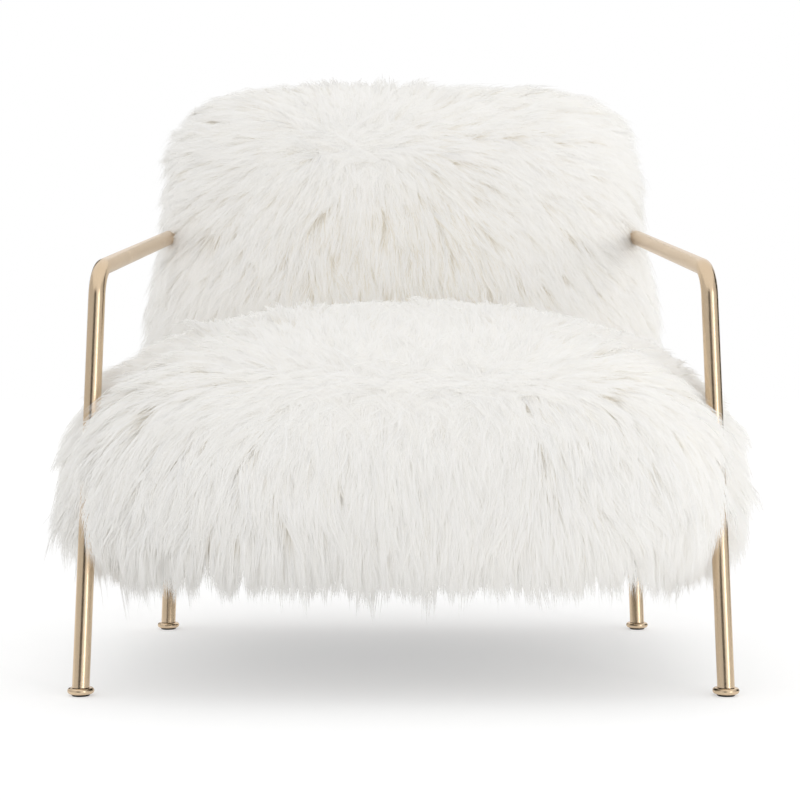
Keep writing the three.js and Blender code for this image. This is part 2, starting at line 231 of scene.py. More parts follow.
class Finish:
    """A material in the making, or the world's light: add() puts in any node."""

    def __init__(self, owner):
        self.owner = owner if not isinstance(owner, str) else bpy.data.materials.new(owner)
        self.owner.use_nodes = True
        self.tree = self.owner.node_tree
        self.tree.nodes.clear()

    def add(self, kind, settings=None, inputs=None, output=0):
        """A node of that kind: its settings, its sockets' values or links, and the output wanted."""
        node = self.tree.nodes.new(kind)
        for key, value in (settings or {}).items():
            if key == "stops":
                self.set_stops(node.color_ramp, value)
            else:
                setattr(node, key, value)
        for key, value in (inputs or {}).items():
            if isinstance(value, Amount):
                self.tree.links.new(value.socket, node.inputs[key])
            else:
                node.inputs[key].default_value = value
        return Amount(self, node.outputs[output]) if node.outputs else node

    def set_stops(self, ramp, stops):
        while len(ramp.elements) < len(stops):
            ramp.elements.new(0.5)
        for element, (place, colour) in zip(ramp.elements, stops):
            element.position = place
            element.color = (*colour, 1)

    def places(self, scale=(1, 1, 1), turn=(0, 0, 0)):
        """Object coordinates, turned and scaled."""
        coordinates = self.add("ShaderNodeTexCoord", output="Object")
        return self.add("ShaderNodeMapping", inputs={
            "Vector": coordinates, "Scale": scale, "Rotation": turn})

    def noise(self, scale, detail=3.0, roughness=0.5, places=None):
        return self.add("ShaderNodeTexNoise", inputs={
            "Vector": places or self.places(),
            "Scale": scale, "Detail": detail, "Roughness": roughness})

    def part(self, vector, axis):
        return self.add("ShaderNodeSeparateXYZ", inputs={"Vector": vector}, output=axis)

    def eased(self, value, low, high):
        """0 up to the low value, 1 from the high one on, smooth between them."""
        return self.add("ShaderNodeMapRange", {"interpolation_type": "SMOOTHSTEP"}, {
            "Value": value, "From Min": low, "From Max": high})

    def between(self, amount, first, second):
        """The colour first where the amount is 0, second where it is 1."""
        return self.add("ShaderNodeMix", {"data_type": "RGBA"}, {
            0: amount, 6: as_colour(first), 7: as_colour(second)}, output=2)

    def bump(self, height, distance, strength=1.0):
        return self.add("ShaderNodeBump", inputs={
            "Height": height, "Distance": distance, "Strength": strength})

    def principled(self, **inputs):
        named = {key.replace("_", " ").title().replace("Ior", "IOR"): value
                 for key, value in inputs.items()}
        return self.add("ShaderNodeBsdfPrincipled", inputs=named)

    def surface(self, shader):
        self.add("ShaderNodeOutputMaterial", inputs={"Surface": shader})
        return self.owner


def as_colour(value):
    return value if isinstance(value, Amount) else (*value, 1)


def satin_brass():
    """Champagne brass, brushed round the tube and lacquered: fine lines, soft cloudy variation."""
    finish = Finish("satin_brass")
    clouds = finish.noise(scale=26, detail=2)
    brushing = finish.noise(scale=420, detail=2, roughness=0.6, places=finish.places((1, 1, 14)))
    return finish.surface(finish.principled(
        base_color=finish.between(clouds, BRASS_DEEP, BRASS_LIGHT), metallic=1.0,
        roughness=0.23 + clouds * 0.03 + brushing * 0.04,
        normal=finish.bump(brushing, distance=0.00002, strength=0.35)))


def grained(name, grain_of, colours, roughness, mottle=0, height=0, **others):
    """A stuff in two colours, whose fine grain may also move its roughness and raise it."""
    finish = Finish(name)
    grain = grain_of(finish)
    if height:
        others["normal"] = finish.bump(grain, height)
    return finish.surface(finish.principled(
        base_color=finish.between(grain, *colours),
        roughness=roughness + grain * mottle if mottle else roughness, **others))


def plywood(name, turn):
    """Birch plywood: long grain on its faces, and thin plies, light and dark, on its edges."""
    finish = Finish(name)
    places = finish.places(turn=turn)
    drawn_out = finish.add("ShaderNodeMapping", inputs={"Vector": places, "Scale": (1.2, 14, 14)})
    grain = finish.noise(scale=11, detail=6, roughness=0.62, places=drawn_out)
    face = finish.add("ShaderNodeValToRGB", {"stops": [
        (0.30, (0.46, 0.31, 0.17)), (0.50, (0.60, 0.43, 0.26)), (0.72, (0.70, 0.54, 0.35))]},
        {"Fac": grain})
    ply = finish.part(places, "Z").worked("PINGPONG", PLY_THICKNESS)
    edge = finish.between(ply * (1 / PLY_THICKNESS), (0.36, 0.23, 0.12), (0.68, 0.52, 0.33))
    direction = finish.add("ShaderNodeTexCoord", output="Normal")
    turned = finish.add("ShaderNodeMapping", {"vector_type": "NORMAL"},
                        {"Vector": direction, "Rotation": turn})
    upright = finish.part(turned, "Z")
    on_face = (upright * upright).worked("GREATER_THAN", 0.5)
    return finish.surface(finish.principled(
        base_color=finish.between(on_face, edge, face), roughness=0.55 + grain * 0.2,
        normal=finish.bump(grain, distance=0.0002)))


def white_fur():
    """Long white fur: warm and creamy at the roots, white from the middle to the tips. The root
    colour is partly the fur's own tone and partly painted shade for the warm depths between the
    strands.

    The map OFBake has each strand's length as its height, lowered on strands that carry painted
    crease shade, and one of many lanes as its width.
    Both faces of a strand take the light from the fur's outside.
    """
    finish = Finish("white_fur")
    strand = finish.add("ShaderNodeUVMap", {"uv_map": FUR_MAP})
    # The root colour fades to white up a share of each strand: partly own tone, partly painted shade
    depth = finish.eased(finish.part(strand, "Y"), 0, FUR_TONE_AND_SHADE_SHARE)
    lane = finish.part(strand, "X") * FUR_LANES
    number = finish.add("ShaderNodeMath", {"operation": "FLOOR"}, {0: lane})
    chance = finish.add("ShaderNodeTexWhiteNoise", {"noise_dimensions": "1D"}, {"W": number})
    white = finish.between(chance, FUR_WHITE_WARM, FUR_WHITE_COOL)
    colour = finish.between(depth, FUR_ROOT_TONE_AND_SHADE, white)
    hair = finish.principled(base_color=colour, roughness=0.7, specular_ior_level=0.25)
    glow = finish.add("ShaderNodeBsdfTranslucent", inputs={"Color": colour})
    behind = finish.add("ShaderNodeNewGeometry", output="Backfacing")
    through = FUR_TRANSLUCENCE + (1 - 2 * FUR_TRANSLUCENCE) * behind
    return finish.surface(finish.add("ShaderNodeMixShader", inputs={
        0: through, 1: hair, 2: glow}))


brass = satin_brass()
# Moulded rubber, matt
rubber = grained("black_rubber", lambda finish: finish.noise(900),
                 [(0.008, 0.008, 0.008), (0.022, 0.021, 0.020)], 0.62, mottle=0.2,
                 height=0.00004, specular_ior_level=0.2)
# Bright zinc on steel
zinc = grained("zinc_steel", lambda finish: finish.noise(160, 4),
               [(0.47, 0.47, 0.46), (0.66, 0.66, 0.64)], 0.28, mottle=0.2, metallic=1.0)
# Warm white suede with a soft nap
hide = grained("fur_hide", lambda finish: finish.noise(240, 4, 0.6),
               [(0.92, 0.91, 0.88), (0.96, 0.95, 0.93)], 0.9, height=0.0006)
fur = white_fur()
# Cut foam, full of fine open cells
foam = grained("cushion_foam", lambda finish: finish.add("ShaderNodeTexVoronoi", inputs={
    "Vector": finish.places(), "Scale": 620.0}),
    [(0.70, 0.65, 0.50), (0.88, 0.84, 0.70)], 0.95, height=0.0006)
# Black spun cloth, its short fibres pressed flat
cloth = grained("dust_cloth", lambda finish: finish.noise(700, 5, 0.7, finish.places((1, 1.6, 1))),
                [(0.012, 0.012, 0.012), (0.05, 0.048, 0.045)], 0.95, height=0.0002)
seat_ply = plywood("seat_plywood", (0, 0, 0))
back_ply = plywood("back_plywood", (RAKE - math.pi / 2, 0, 0))


# The side frames: one bent tube each

BEND_STEPS = 24
TUBE_SIDES = 64


def side_corners(side):
    """The corners of a side frame's centre line before rounding, from front foot to rear foot."""
    return np.array([
        (side * (FRONT_HALF_SPAN - depth * TOE_IN), FRONT + depth, height) for depth, height in (
            (-STUD_LENGTH * LEAN, -STUD_LENGTH),
            (ARM_FRONT_DEPTH, ARM_FRONT_HEIGHT),
            (FOOT_SPACING + ARM_REAR_HEIGHT * LEAN, ARM_REAR_HEIGHT),
            (FOOT_SPACING - STUD_LENGTH * LEAN, -STUD_LENGTH))])


def bent_line(corners):
    """Points and tangents of a line with rounded corners.

    Each bend is an arc from tangent point to tangent point: radius times sine along the arriving
    line, and radius times one minus cosine towards the leaving line.
    """
    points = [corners[:1]]
    tangents = [unit(corners[1:2] - corners[:1])]
    for before, corner, after in zip(corners, corners[1:], corners[2:]):
        arriving = unit(corner - before)
        leaving = unit(after - corner)
        turn = math.acos(float(arriving @ leaving))
        start = corner - arriving * BEND_RADIUS * math.tan(turn / 2)
        inward = unit(leaving - arriving * (arriving @ leaving))
        angle = np.linspace(0, turn, BEND_STEPS)[:, None]
        arc_way = np.sin(angle) * arriving + (1 - np.cos(angle)) * inward
        points.append(start + BEND_RADIUS * arc_way)
        tangents.append(np.cos(angle) * arriving + np.sin(angle) * inward)
    points.append(corners[-1:])
    tangents.append(unit(corners[-1:] - corners[-2:-1]))
    return np.concatenate(points), np.concatenate(tangents)


def tube_wall(points, tangents, across, radius):
    """Rings round a line in a plane, by the angle from the plane's normal, cut level at both ends."""
    angle = np.linspace(0, 2 * math.pi, TUBE_SIDES, endpoint=False)[:, None]
    inside = unit(np.cross(tangents, across))[:, None]
    rings = points[:, None] + radius * (np.cos(angle) * across + np.sin(angle) * inside)
    for end in (0, -1):
        rise = (rings[end][:, 2] - LEG_END) / tangents[end][2]
        rings[end] -= rise[:, None] * tangents[end]
    return rings


def side_tube(hand, side):
    """An outer wall one way along the line and an inner wall back again."""
    corners = side_corners(side)
    points, tangents = bent_line(corners)
    across = unit(np.cross(tangents[0], corners[2] - corners[1]))
    outer = tube_wall(points, tangents, across, TUBE_RADIUS)
    inner = tube_wall(points, tangents, across, TUBE_RADIUS - TUBE_WALL)
    grid = np.concatenate([outer, inner[::-1]])
    piece = closed_piece(f"side_tube_{hand}", grid, brass, wrap_rows=True, sharp=True)
    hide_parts(f"side_frame_{hand}")
    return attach(piece, "chair")


for hand, side in SIDES:
    side_tube(hand, side)


# The feet: a turned disc with its stud, and a pad, on each of the four legs

FOOT_SIDES = 72
DISC_LIP = 0.0004
RIM_END_DEGREES = 78
CROWN_OVERHANG = 0.0006
CROWN_DROP = 0.00012
CROWN_EDGE = 0.0004
PAD_ROUND = 0.0002


def arc(centre, radius, first, last, steps):
    """Points of an arc in the profile plane, by angles in degrees."""
    angle = np.radians(np.linspace(first, last, steps))
    return np.stack([centre[0] + radius * np.cos(angle),
                     centre[1] + radius * np.sin(angle)], axis=-1)


def turned_piece(name, profile, centre, finish):
    """A profile of [radius, height] carried round an upright axis."""
    angle = np.linspace(0, 2 * math.pi, FOOT_SIDES, endpoint=False)
    radius, height = profile.T
    ring = np.stack([np.cos(angle), np.sin(angle), np.zeros_like(angle)], axis=-1)
    grid = centre + radius[:, None, None] * ring - height[:, None, None] * DOWN
    return closed_piece(name, grid, finish, sharp=True)


def disc_profile():
    """From the pad's seat out round the full rim, in over the top to the stud, up to its tip."""
    rim = DISC_THICKNESS / 2
    top = DISC_BOTTOM + DISC_THICKNESS
    hole = PAD_RADIUS + FIT_GAP
    ceiling = PAD_THICKNESS + FIT_GAP
    seat = [(0, ceiling), (hole, ceiling), (hole, DISC_BOTTOM + DISC_LIP)]
    lip_arc = arc((hole + DISC_LIP, DISC_BOTTOM + DISC_LIP), DISC_LIP, 180, 270, 5)
    rim_arc = arc((DISC_RADIUS - rim, DISC_BOTTOM + rim), rim, -90, RIM_END_DEGREES, 24)
    crown = [(TUBE_RADIUS + CROWN_OVERHANG, top - CROWN_DROP), (TUBE_RADIUS - CROWN_EDGE, top)]
    stud = [(STUD_RADIUS, top), (STUD_RADIUS, top + STUD_LENGTH - STUD_TIP),
            (STUD_RADIUS - STUD_TIP, top + STUD_LENGTH), (0, top + STUD_LENGTH)]
    return np.concatenate([seat, lip_arc, rim_arc, crown, stud])


def pad_profile():
    """A flat pad with a chamfer at the floor and a small round at the corner above it."""
    corner = arc((PAD_RADIUS - PAD_ROUND, PAD_RECESS + PAD_ROUND), PAD_ROUND, -45, 0, 4)
    return np.concatenate([[(0, 0), (PAD_RADIUS - PAD_RECESS, 0)], corner,
                           [(PAD_RADIUS, PAD_THICKNESS), (0, PAD_THICKNESS)]])


for place in ("front", "rear"):
    for hand, _ in SIDES:
        low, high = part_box(f"glide_pad_{place}_{hand}")
        centre = np.array([(low.x + high.x) / 2, (low.y + high.y) / 2, 0])
        for part, profile, finish, slot in (
                ("disc", disc_profile(), brass, "satin_brass"),
                ("pad", pad_profile(), rubber, "black_rubber")):
            piece = turned_piece(f"foot_{part}_{place}_{hand}", profile, centre, finish)
            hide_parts(f"glide_{part}_{place}_{hand}")
            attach(piece, f"glide_{place}_{hand}")


# The frame's own nodes that stay, by a word of their names

KEPT_FINISHES = {"rail": brass, "bolt": zinc, "nut": zinc, "insert": zinc,
                 "seat_board": seat_ply, "back_board": back_ply}

for node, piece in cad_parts.items():
    for word, finish in KEPT_FINISHES.items():
        if word in node:
            piece.data.materials[0] = finish


# The cushions' forms

BACK_BOARD_FACE = 0.0229
BACK_CUSHION_DEPTH = 0.147
CUSHION_GAP = 0.003
HIDE_THICKNESS = 0.020
SEAT_FOAM_END = BACK_BOARD_FACE + BACK_CUSHION_DEPTH + CUSHION_GAP + HIDE_THICKNESS
SEAT_NARROWING = 0.025
LEG_HOLLOW_REACH = 0.022
LEG_HOLLOW_SHARE = 0.095
BACK_WIDENING = 0.065
BACK_WIDE_HEIGHTS = (0.42, 0.58)
BACK_WIDE_DEPTHS = (0.012, 0.050)
SLOPE_STEP = 1e-4
UP_LEG = np.array([0, math.sin(RAKE), math.cos(RAKE)])
OUT_OF_BACK = np.array([0, -math.cos(RAKE), math.sin(RAKE)])


class Puff:
    """A stuffed form round its widest level.

    A point at q, in shares of the reach each way, is on it where (p^m + |qz|^m)^(1/m) = 1, with
    p = (|qx|^n + |qy|^n)^(1/n), n the outline's shape and m the shape above or below the middle.
    The reach is to each side, to the low and to the high end, above and below.
    """

    def __init__(self, origin, axes, centre, reach, outline, over, under, width=None):
        self.origin = np.array(origin)
        self.axes = np.array(axes)
        self.centre = np.array(centre)
        self.side, self.low, self.high, self.above, self.below = reach
        self.outline = outline
        self.over = over
        self.under = under
        self.width = width or (lambda places: np.ones(places.shape[:-1]))

    def local(self, points):
        return (points - self.origin) @ self.axes.T

    def world(self, places):
        return places @ self.axes + self.origin

    def size(self, x, y, z):
        """The left side of the form's equation."""
        plan = (np.abs(x) ** self.outline + np.abs(y) ** self.outline) ** (1 / self.outline)
        shape = np.where(z < 0, self.under, self.over)
        return (plan ** shape + np.abs(z) ** shape) ** (1 / shape)

    def reaches(self, y, z):
        """The reach lengthwise and in height on a point's side of the middle."""
        return np.where(y < 0, self.low, self.high), np.where(z < 0, self.below, self.above)

    def fullness(self, points):
        """1 on the form, less inside it, more outside it."""
        places = self.local(points)
        x = places[..., 0] / self.width(places) / self.side
        y = places[..., 1] - self.centre[1]
        z = places[..., 2] - self.centre[2]
        length, height = self.reaches(y, z)
        return self.size(x, y / length, z / height)

    def outward(self, points):
        """Height over the form and the direction away from it: the fullness and its slope."""
        full = self.fullness(points)
        slope = np.stack([self.fullness(points + SLOPE_STEP * axis) - full for axis in np.eye(3)],
                         axis=-1)
        steepness = np.maximum(np.linalg.norm(slope, axis=-1), TINY)
        return (full - 1) * SLOPE_STEP / steepness, unit(slope)

    def skin(self, rows, columns):
        """Points on the form over a ball's latitudes and longitudes."""
        latitude = np.linspace(-math.pi / 2, math.pi / 2, rows)[:, None]
        longitude = np.linspace(0, 2 * math.pi, columns, endpoint=False)[None, :]
        x = np.cos(latitude) * np.cos(longitude)
        y = np.cos(latitude) * np.sin(longitude)
        z = np.sin(latitude) * np.ones_like(longitude)
        size = self.size(x, y, z)
        length, height = self.reaches(y, z)
        places = np.stack([x / size * self.side, y / size * length + self.centre[1],
                           z / size * height + self.centre[2]], axis=-1)
        places[..., 0] *= self.width(places)
        return self.world(places)


def seat_width(places):
    """The seat narrows ahead of its legs, and each front leg presses a hollow into its side."""
    depth = places[..., 1]
    ahead = 1 - ease(depth, 0, ARM_FRONT_DEPTH)
    from_leg = depth - places[..., 2] * LEAN
    hollow = np.exp(-(from_leg / LEG_HOLLOW_REACH) ** 2)
    return (1 - SEAT_NARROWING * ahead) * (1 - LEG_HOLLOW_SHARE * hollow)


def back_width(places):
    """The back is wider low down, in front of the rear legs."""
    low = 1 - ease(places[..., 1], *BACK_WIDE_HEIGHTS)
    return 1 + BACK_WIDENING * low * ease(places[..., 2], *BACK_WIDE_DEPTHS)


SEAT_PLACE = {"origin": (0, FRONT, 0), "axes": np.eye(3), "centre": (0, 0.2554, 0.2369)}
BACK_PLACE = {"origin": (0, FRONT + FOOT_SPACING, 0), "axes": [(1, 0, 0), UP_LEG, OUT_OF_BACK],
              "centre": (0, 0.487, BACK_BOARD_FACE)}

seat_form = Puff(
    **SEAT_PLACE, outline=4.4, over=2.2, under=3.6, width=seat_width,
    reach=(0.3800, 0.3180, 0.3000, 0.1870, 0.1180))
back_form = Puff(
    **BACK_PLACE, outline=5.2, over=2.5, under=3.0, width=back_width,
    reach=(0.3170, 0.2480, 0.2540, 0.1260, 0.0500))
seat_foam_form = Puff(
    **SEAT_PLACE, outline=4.4, over=2.2, under=6.0,
    reach=(0.3232, 0.2972, 0.2972, 0.1607, 0.0460))
back_foam_form = Puff(
    **BACK_PLACE, outline=4.6, over=2.5, under=6.0,
    reach=(0.2952, 0.2447, 0.2447, 0.1047, 0.0420))


# Settling a skin against what it touches

SEAT_HIDE_LEVEL = 0.143
BOARD_CORNER = 0.080
SEAT_BACK_GAP = 0.004
TUBE_CLEARANCE = 0.0012


def held_off(form, points, gap):
    """Points moved straight out of a form until they are a gap away from it."""
    for _ in range(3):
        height, away = form.outward(points)
        points = points + np.maximum(gap - height, 0)[..., None] * away
    return points


def on_board(points):
    """True inside the seat board's outline: narrower towards the rear, with round corners."""
    from_front = points[..., 1] - board_low.y
    from_side = board_high.x - from_front * TOE_IN - np.abs(points[..., 0])
    from_end = np.minimum(from_front, board_high.y - points[..., 1])
    past_side = np.maximum(BOARD_CORNER - from_side, 0)
    past_end = np.maximum(BOARD_CORNER - from_end, 0)
    return np.hypot(past_side, past_end) < BOARD_CORNER


def clear_of_tubes(points):
    """Points inside the side frames' tubes moved straight out to just beyond their walls."""
    reach = TUBE_RADIUS + TUBE_CLEARANCE
    for _, side in SIDES:
        corners = side_corners(side)
        for start, end in zip(corners, corners[1:]):
            off = way_from(start, end, points)
            distance = np.linalg.norm(off, axis=-1, keepdims=True)
            moved = points + off / np.maximum(distance, TINY) * (reach - distance)
            points = np.where(distance < reach, moved, points)
    return points


def settled_seat(points):
    """Clear of the back and the tubes, up on the board inside its outline, level round it."""
    points = held_off(back_form, points, SEAT_BACK_GAP)
    least = np.where(on_board(points), board_high.z + FIT_GAP, SEAT_HIDE_LEVEL)
    points[..., 2] = np.maximum(points[..., 2], least)
    return clear_of_tubes(points)


# Swelling a hide by simulation

SLACK = 0.003
SKIN_CELL = 0.014
SWELLING_PRESSURE = 4
SWELLING_STEPS = 20
SWELLING_CAP = 0.007
SWELLING_CEILING = 0.0015
FOAM_GIVE = 0.001


def places_of(mesh):
    places = np.empty(len(mesh.vertices) * 3, np.float32)
    mesh.vertices.foreach_get("co", places)
    return places.reshape(-1, 3).astype(float)


def set_places(mesh, places):
    mesh.vertices.foreach_set("co", places.astype(np.float32).ravel())
    mesh.update()


def modified(piece):
    """The piece's mesh as its modifiers make it."""
    graph = bpy.context.evaluated_depsgraph_get()
    return bpy.data.meshes.new_from_object(piece.evaluated_get(graph), depsgraph=graph)


def with_modifiers_applied(piece):
    mesh = modified(piece)
    piece.modifiers.clear()
    piece.data = mesh


def swollen(piece, form, settle):
    """The piece's skin blown up by Cloth under pressure, then settled against what it touches.

    The foam inside holds a point from sinking by more than its give. A point that moves by d ends
    at its start plus d times the smaller of 1 and the cap over the length of d, and it stays within
    the ceiling over its form.
    """
    even = piece.modifiers.new("even_skin", "REMESH")
    even.mode = "VOXEL"
    even.voxel_size = SKIN_CELL
    even.use_smooth_shade = True
    with_modifiers_applied(piece)
    start = places_of(piece.data)
    swelling = piece.modifiers.new("swelling", "CLOTH")
    swelling.settings.use_pressure = True
    swelling.settings.uniform_pressure_force = SWELLING_PRESSURE
    swelling.settings.effector_weights.gravity = 0
    for step in range(1, SWELLING_STEPS + 1):
        bpy.context.scene.frame_set(step)
    moved = places_of(modified(piece)) - start
    piece.modifiers.clear()
    bpy.context.scene.frame_set(1)
    _, away = form.outward(start)
    moved = moved + np.maximum(-FOAM_GIVE - dot(moved, away), 0) * away
    size = np.linalg.norm(moved, axis=-1, keepdims=True)
    set_places(piece.data, start + moved * np.minimum(1, SWELLING_CAP / np.maximum(size, TINY)))
    piece.modifiers.new("finer_skin", "SUBSURF").levels = 1
    with_modifiers_applied(piece)
    points = places_of(piece.data)
    height, away = form.outward(points)
    points = points - np.maximum(height - SWELLING_CEILING, 0)[:, None] * away
    set_places(piece.data, settle(points))


# The foams and the hides

FOAM_GRID = (48, 96)
HIDE_GRID = (96, 160)


def cushion_piece(name, grid, finish, node, form=None, settle=None):
    """A pad from a grid of points; its skin is simulated where it has a form to fill."""
    piece = closed_piece(name, grid, finish)
    if form:
        swollen(piece, form, settle)
    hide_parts(node)
    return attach(piece, "chair")


def cut_foam(form, level, axis, behind=None):
    """A foam's form cut flat at its board, and along the plane ahead of the back where it ends."""
    points = form.skin(*FOAM_GRID)
    height = (points - form.origin) @ axis
    points = points + np.maximum(level - height, 0)[..., None] * axis
    if behind is not None:
        ahead = (points - back_form.origin) @ OUT_OF_BACK
        points = points + np.maximum(behind - ahead, 0)[..., None] * OUT_OF_BACK
    return points


def slack(form):
    points = form.skin(*HIDE_GRID)
    _, away = form.outward(points)
    return points - SLACK * away


cushion_piece("seat_foam_block",
              cut_foam(seat_foam_form, board_high.z + FIT_GAP, -DOWN, SEAT_FOAM_END),
              foam, "seat_foam")
cushion_piece("back_foam_block",
              cut_foam(back_foam_form, BACK_BOARD_FACE + FIT_GAP, OUT_OF_BACK),
              foam, "back_foam")
seat_hide = cushion_piece("seat_hide", settled_seat(slack(seat_form)), hide,
                          "seat_cover", seat_form, settled_seat)
back_hide = cushion_piece("back_hide", clear_of_tubes(slack(back_form)), hide,
                          "back_cover", back_form, clear_of_tubes)


# Where the fur's locks have their roots

LOCK_CELL = 0.0102
PARTING_CELL_SHARE = 0.8
PARTING_REACH = 0.055
SCATTER_PER_CELL = 9
SEAT_THIN_DEPTHS = (0.30, 0.45)
SEAT_KEPT = (1, 0.55)
SEAT_CLEAR_OF_BACK = 0.014
BOARD_ROOT_HEIGHT = 0.003
BACK_THIN_DEPTHS = (0.0, 0.05)
BACK_KEPT = (0.55, 1)
BACK_CLEAR_OF_SEAT = 0.010
SEAT_PARTING_HEIGHT = 0.335
SEAT_PARTING = seat_form.world(np.array([
    [-0.110, -0.020, SEAT_PARTING_HEIGHT], [0.110, -0.020, SEAT_PARTING_HEIGHT]]))
BACK_PARTING_HEIGHT = 0.640
BACK_PARTING = back_form.world(np.array([
    [-0.085, BACK_PARTING_HEIGHT, 0.14], [-0.030, BACK_PARTING_HEIGHT, 0.14]]))


def scatter(piece, cell, seed):
    """Points spread over a piece: random points by area, then one to each cubic cell."""
    mesh = piece.data
    mesh.calc_loop_triangles()
    corners = np.empty(len(mesh.loop_triangles) * 3, np.int32)
    mesh.loop_triangles.foreach_get("vertices", corners)
    triangles = places_of(mesh)[corners.reshape(-1, 3)]
    area = np.linalg.norm(np.cross(triangles[:, 1] - triangles[:, 0],
                                   triangles[:, 2] - triangles[:, 0]), axis=-1) / 2
    rng = np.random.default_rng(seed)
    count = int(area.sum() / cell ** 2 * SCATTER_PER_CELL)
    which = np.searchsorted(np.cumsum(area) / area.sum(), rng.random(count))
    chosen = triangles[np.minimum(which, len(area) - 1)]
    a, b = rng.random((2, count, 1))
    over = a + b > 1
    a, b = np.where(over, 1 - a, a), np.where(over, 1 - b, b)
    points = chosen[:, 0] + a * (chosen[:, 1] - chosen[:, 0]) + b * (chosen[:, 2] - chosen[:, 0])
    _, first = np.unique(np.floor(points / cell).astype(int), axis=0, return_index=True)
    return points[np.sort(first)]


def thinned(points, keep, seed):
    """Some of the points left out by chance: keep is the share that stays at each."""
    return points[np.random.default_rng(seed).random(len(points)) < keep]


def from_parting(parting, points):
    """The distance from a parting line to each point."""
    return np.linalg.norm(way_from(*parting, points), axis=-1)


def roots_over(piece, parting, seed):
    """Roots all over a hide, and more of them near its parting."""
    points = scatter(piece, LOCK_CELL, seed)
    more = scatter(piece, LOCK_CELL * PARTING_CELL_SHARE, seed + 60)
    return np.concatenate([points, more[from_parting(parting, more) < PARTING_REACH]])


def seat_roots():
    """Roots over the seat's hide, fewer at its rear, none on the board or behind the back."""
    points = roots_over(seat_hide, SEAT_PARTING, SEED)
    keep = graded(points[:, 1] - FRONT, SEAT_THIN_DEPTHS, SEAT_KEPT)
    points = thinned(points, keep, SEED + 2)
    height, _ = back_form.outward(points)
    under = on_board(points) & (points[:, 2] < board_high.z + BOARD_ROOT_HEIGHT)
    return points[(height > SEAT_CLEAR_OF_BACK) & ~under]


def back_roots():
    """Roots over the back's hide, fewer at its rear, none on the seat."""
    points = roots_over(back_hide, BACK_PARTING, SEED + 1)
    keep = graded(back_form.local(points)[:, 2], BACK_THIN_DEPTHS, BACK_KEPT)
    points = thinned(points, keep, SEED + 3)
    height, _ = seat_form.outward(points)
    return points[height > BACK_CLEAR_OF_SEAT]


# How the fur is combed, and how long its locks are

SEAT_FALL = 1.7
SEAT_FALL_LEVELS = (SEAT_PARTING_HEIGHT - 0.035, SEAT_PARTING_HEIGHT + 0.015)
SEAT_HANG_LEVELS = (0.20, 0.40)
SEAT_LENGTHS = (0.080, 0.060)
SEAT_FRINGE_LEVEL = 0.121
SEAT_LOW_LEVELS = (0.18, 0.26)
BACK_FALL = 0.75
BACK_FALL_DEPTHS = (-0.05, 0.20)
BACK_REAR_FACING = (-0.1, 0.6)
BACK_REAR_SPREAD = 0.02
BACK_FRONT_DEPTHS = (0.0, 0.06)
BACK_LENGTHS = (0.050, 0.068)
BACK_FRINGE_HEIGHTS = (0.26, 0.34)
BACK_FRINGE_LENGTH = 0.024
# Painted crease shade on the back's lock edges: where it is strongest, how far it reaches, how much
# near and far
CREASE_SHADE_PLACE = (-0.01, 0.47)
CREASE_SHADE_REACH = (0.06, 0.24)
CREASE_SHADE_AMOUNTS = (0.90, 0.30)


def seat_comb(points, normals):
    """Away from a parting at the front of the seat, and down wherever the skin is steep."""
    away = unit(along(normals, way_from(*SEAT_PARTING, points)))
    below = 1 - ease(points[:, 2:], *SEAT_FALL_LEVELS)
    return unit(away + SEAT_FALL * below * along(normals, DOWN))


def back_comb(points, normals):
    """Away from a parting high on the back's front, more down below it, and down at the rear."""
    away = unit(along(normals, way_from(*BACK_PARTING, points)))
    below = ease(BACK_PARTING_HEIGHT - back_form.local(points)[:, 1:2], *BACK_FALL_DEPTHS)
    rear = ease(-dot(normals, OUT_OF_BACK), *BACK_REAR_FACING)
    fall = along(normals, DOWN)
    combed = away + BACK_FALL * below * fall
    return unit((1 - rear) * combed + rear * (fall + BACK_REAR_SPREAD * away))


def seat_length(points):
    """Longest where the fur hangs at the front and sides, never past the fringe's level."""
    length = graded(points[:, 2], SEAT_HANG_LEVELS, SEAT_LENGTHS)
    return np.minimum(length, points[:, 2] - SEAT_FRINGE_LEVEL)


def back_length(points):
    """Longer on the front, and where it hangs over the gap at the low end of the rear."""
    up, out = back_form.local(points)[:, 1:].T
    fringe = (1 - ease(up, *BACK_FRINGE_HEIGHTS)) * (1 - ease(out, *BACK_FRONT_DEPTHS))
    return graded(out, BACK_FRONT_DEPTHS, BACK_LENGTHS) + BACK_FRINGE_LENGTH * fringe


def back_cream(points):
    """How much painted crease shade, in the root colour, the edges of the back's locks take: most in
    the middle, below the parting.
    """
    away = back_form.local(points)[:, :2] - CREASE_SHADE_PLACE
    return graded(np.hypot(*away.T), CREASE_SHADE_REACH, CREASE_SHADE_AMOUNTS)


# The locks and their strands

STRAND_LEVELS = np.array([0, 0.3, 0.65, 1])
STRAND_WIDTH = 0.00114
STRAND_WIDTH_SHARES = np.array([0.8, 1.0, 0.75])[None, :, None]
STRANDS_PER_LOCK = 25
LOCK_RADIUS = 0.0080
ROOT_DEPTH = 0.002
PART_WIDTH = 0.045
TURN_DEGREES = 9
PART_TURN_DEGREES = 90
# Degrees and wavelength of each slow ripple in the locks' turn
TURN_RIPPLES = ((9, 0.11), (8, 0.034))
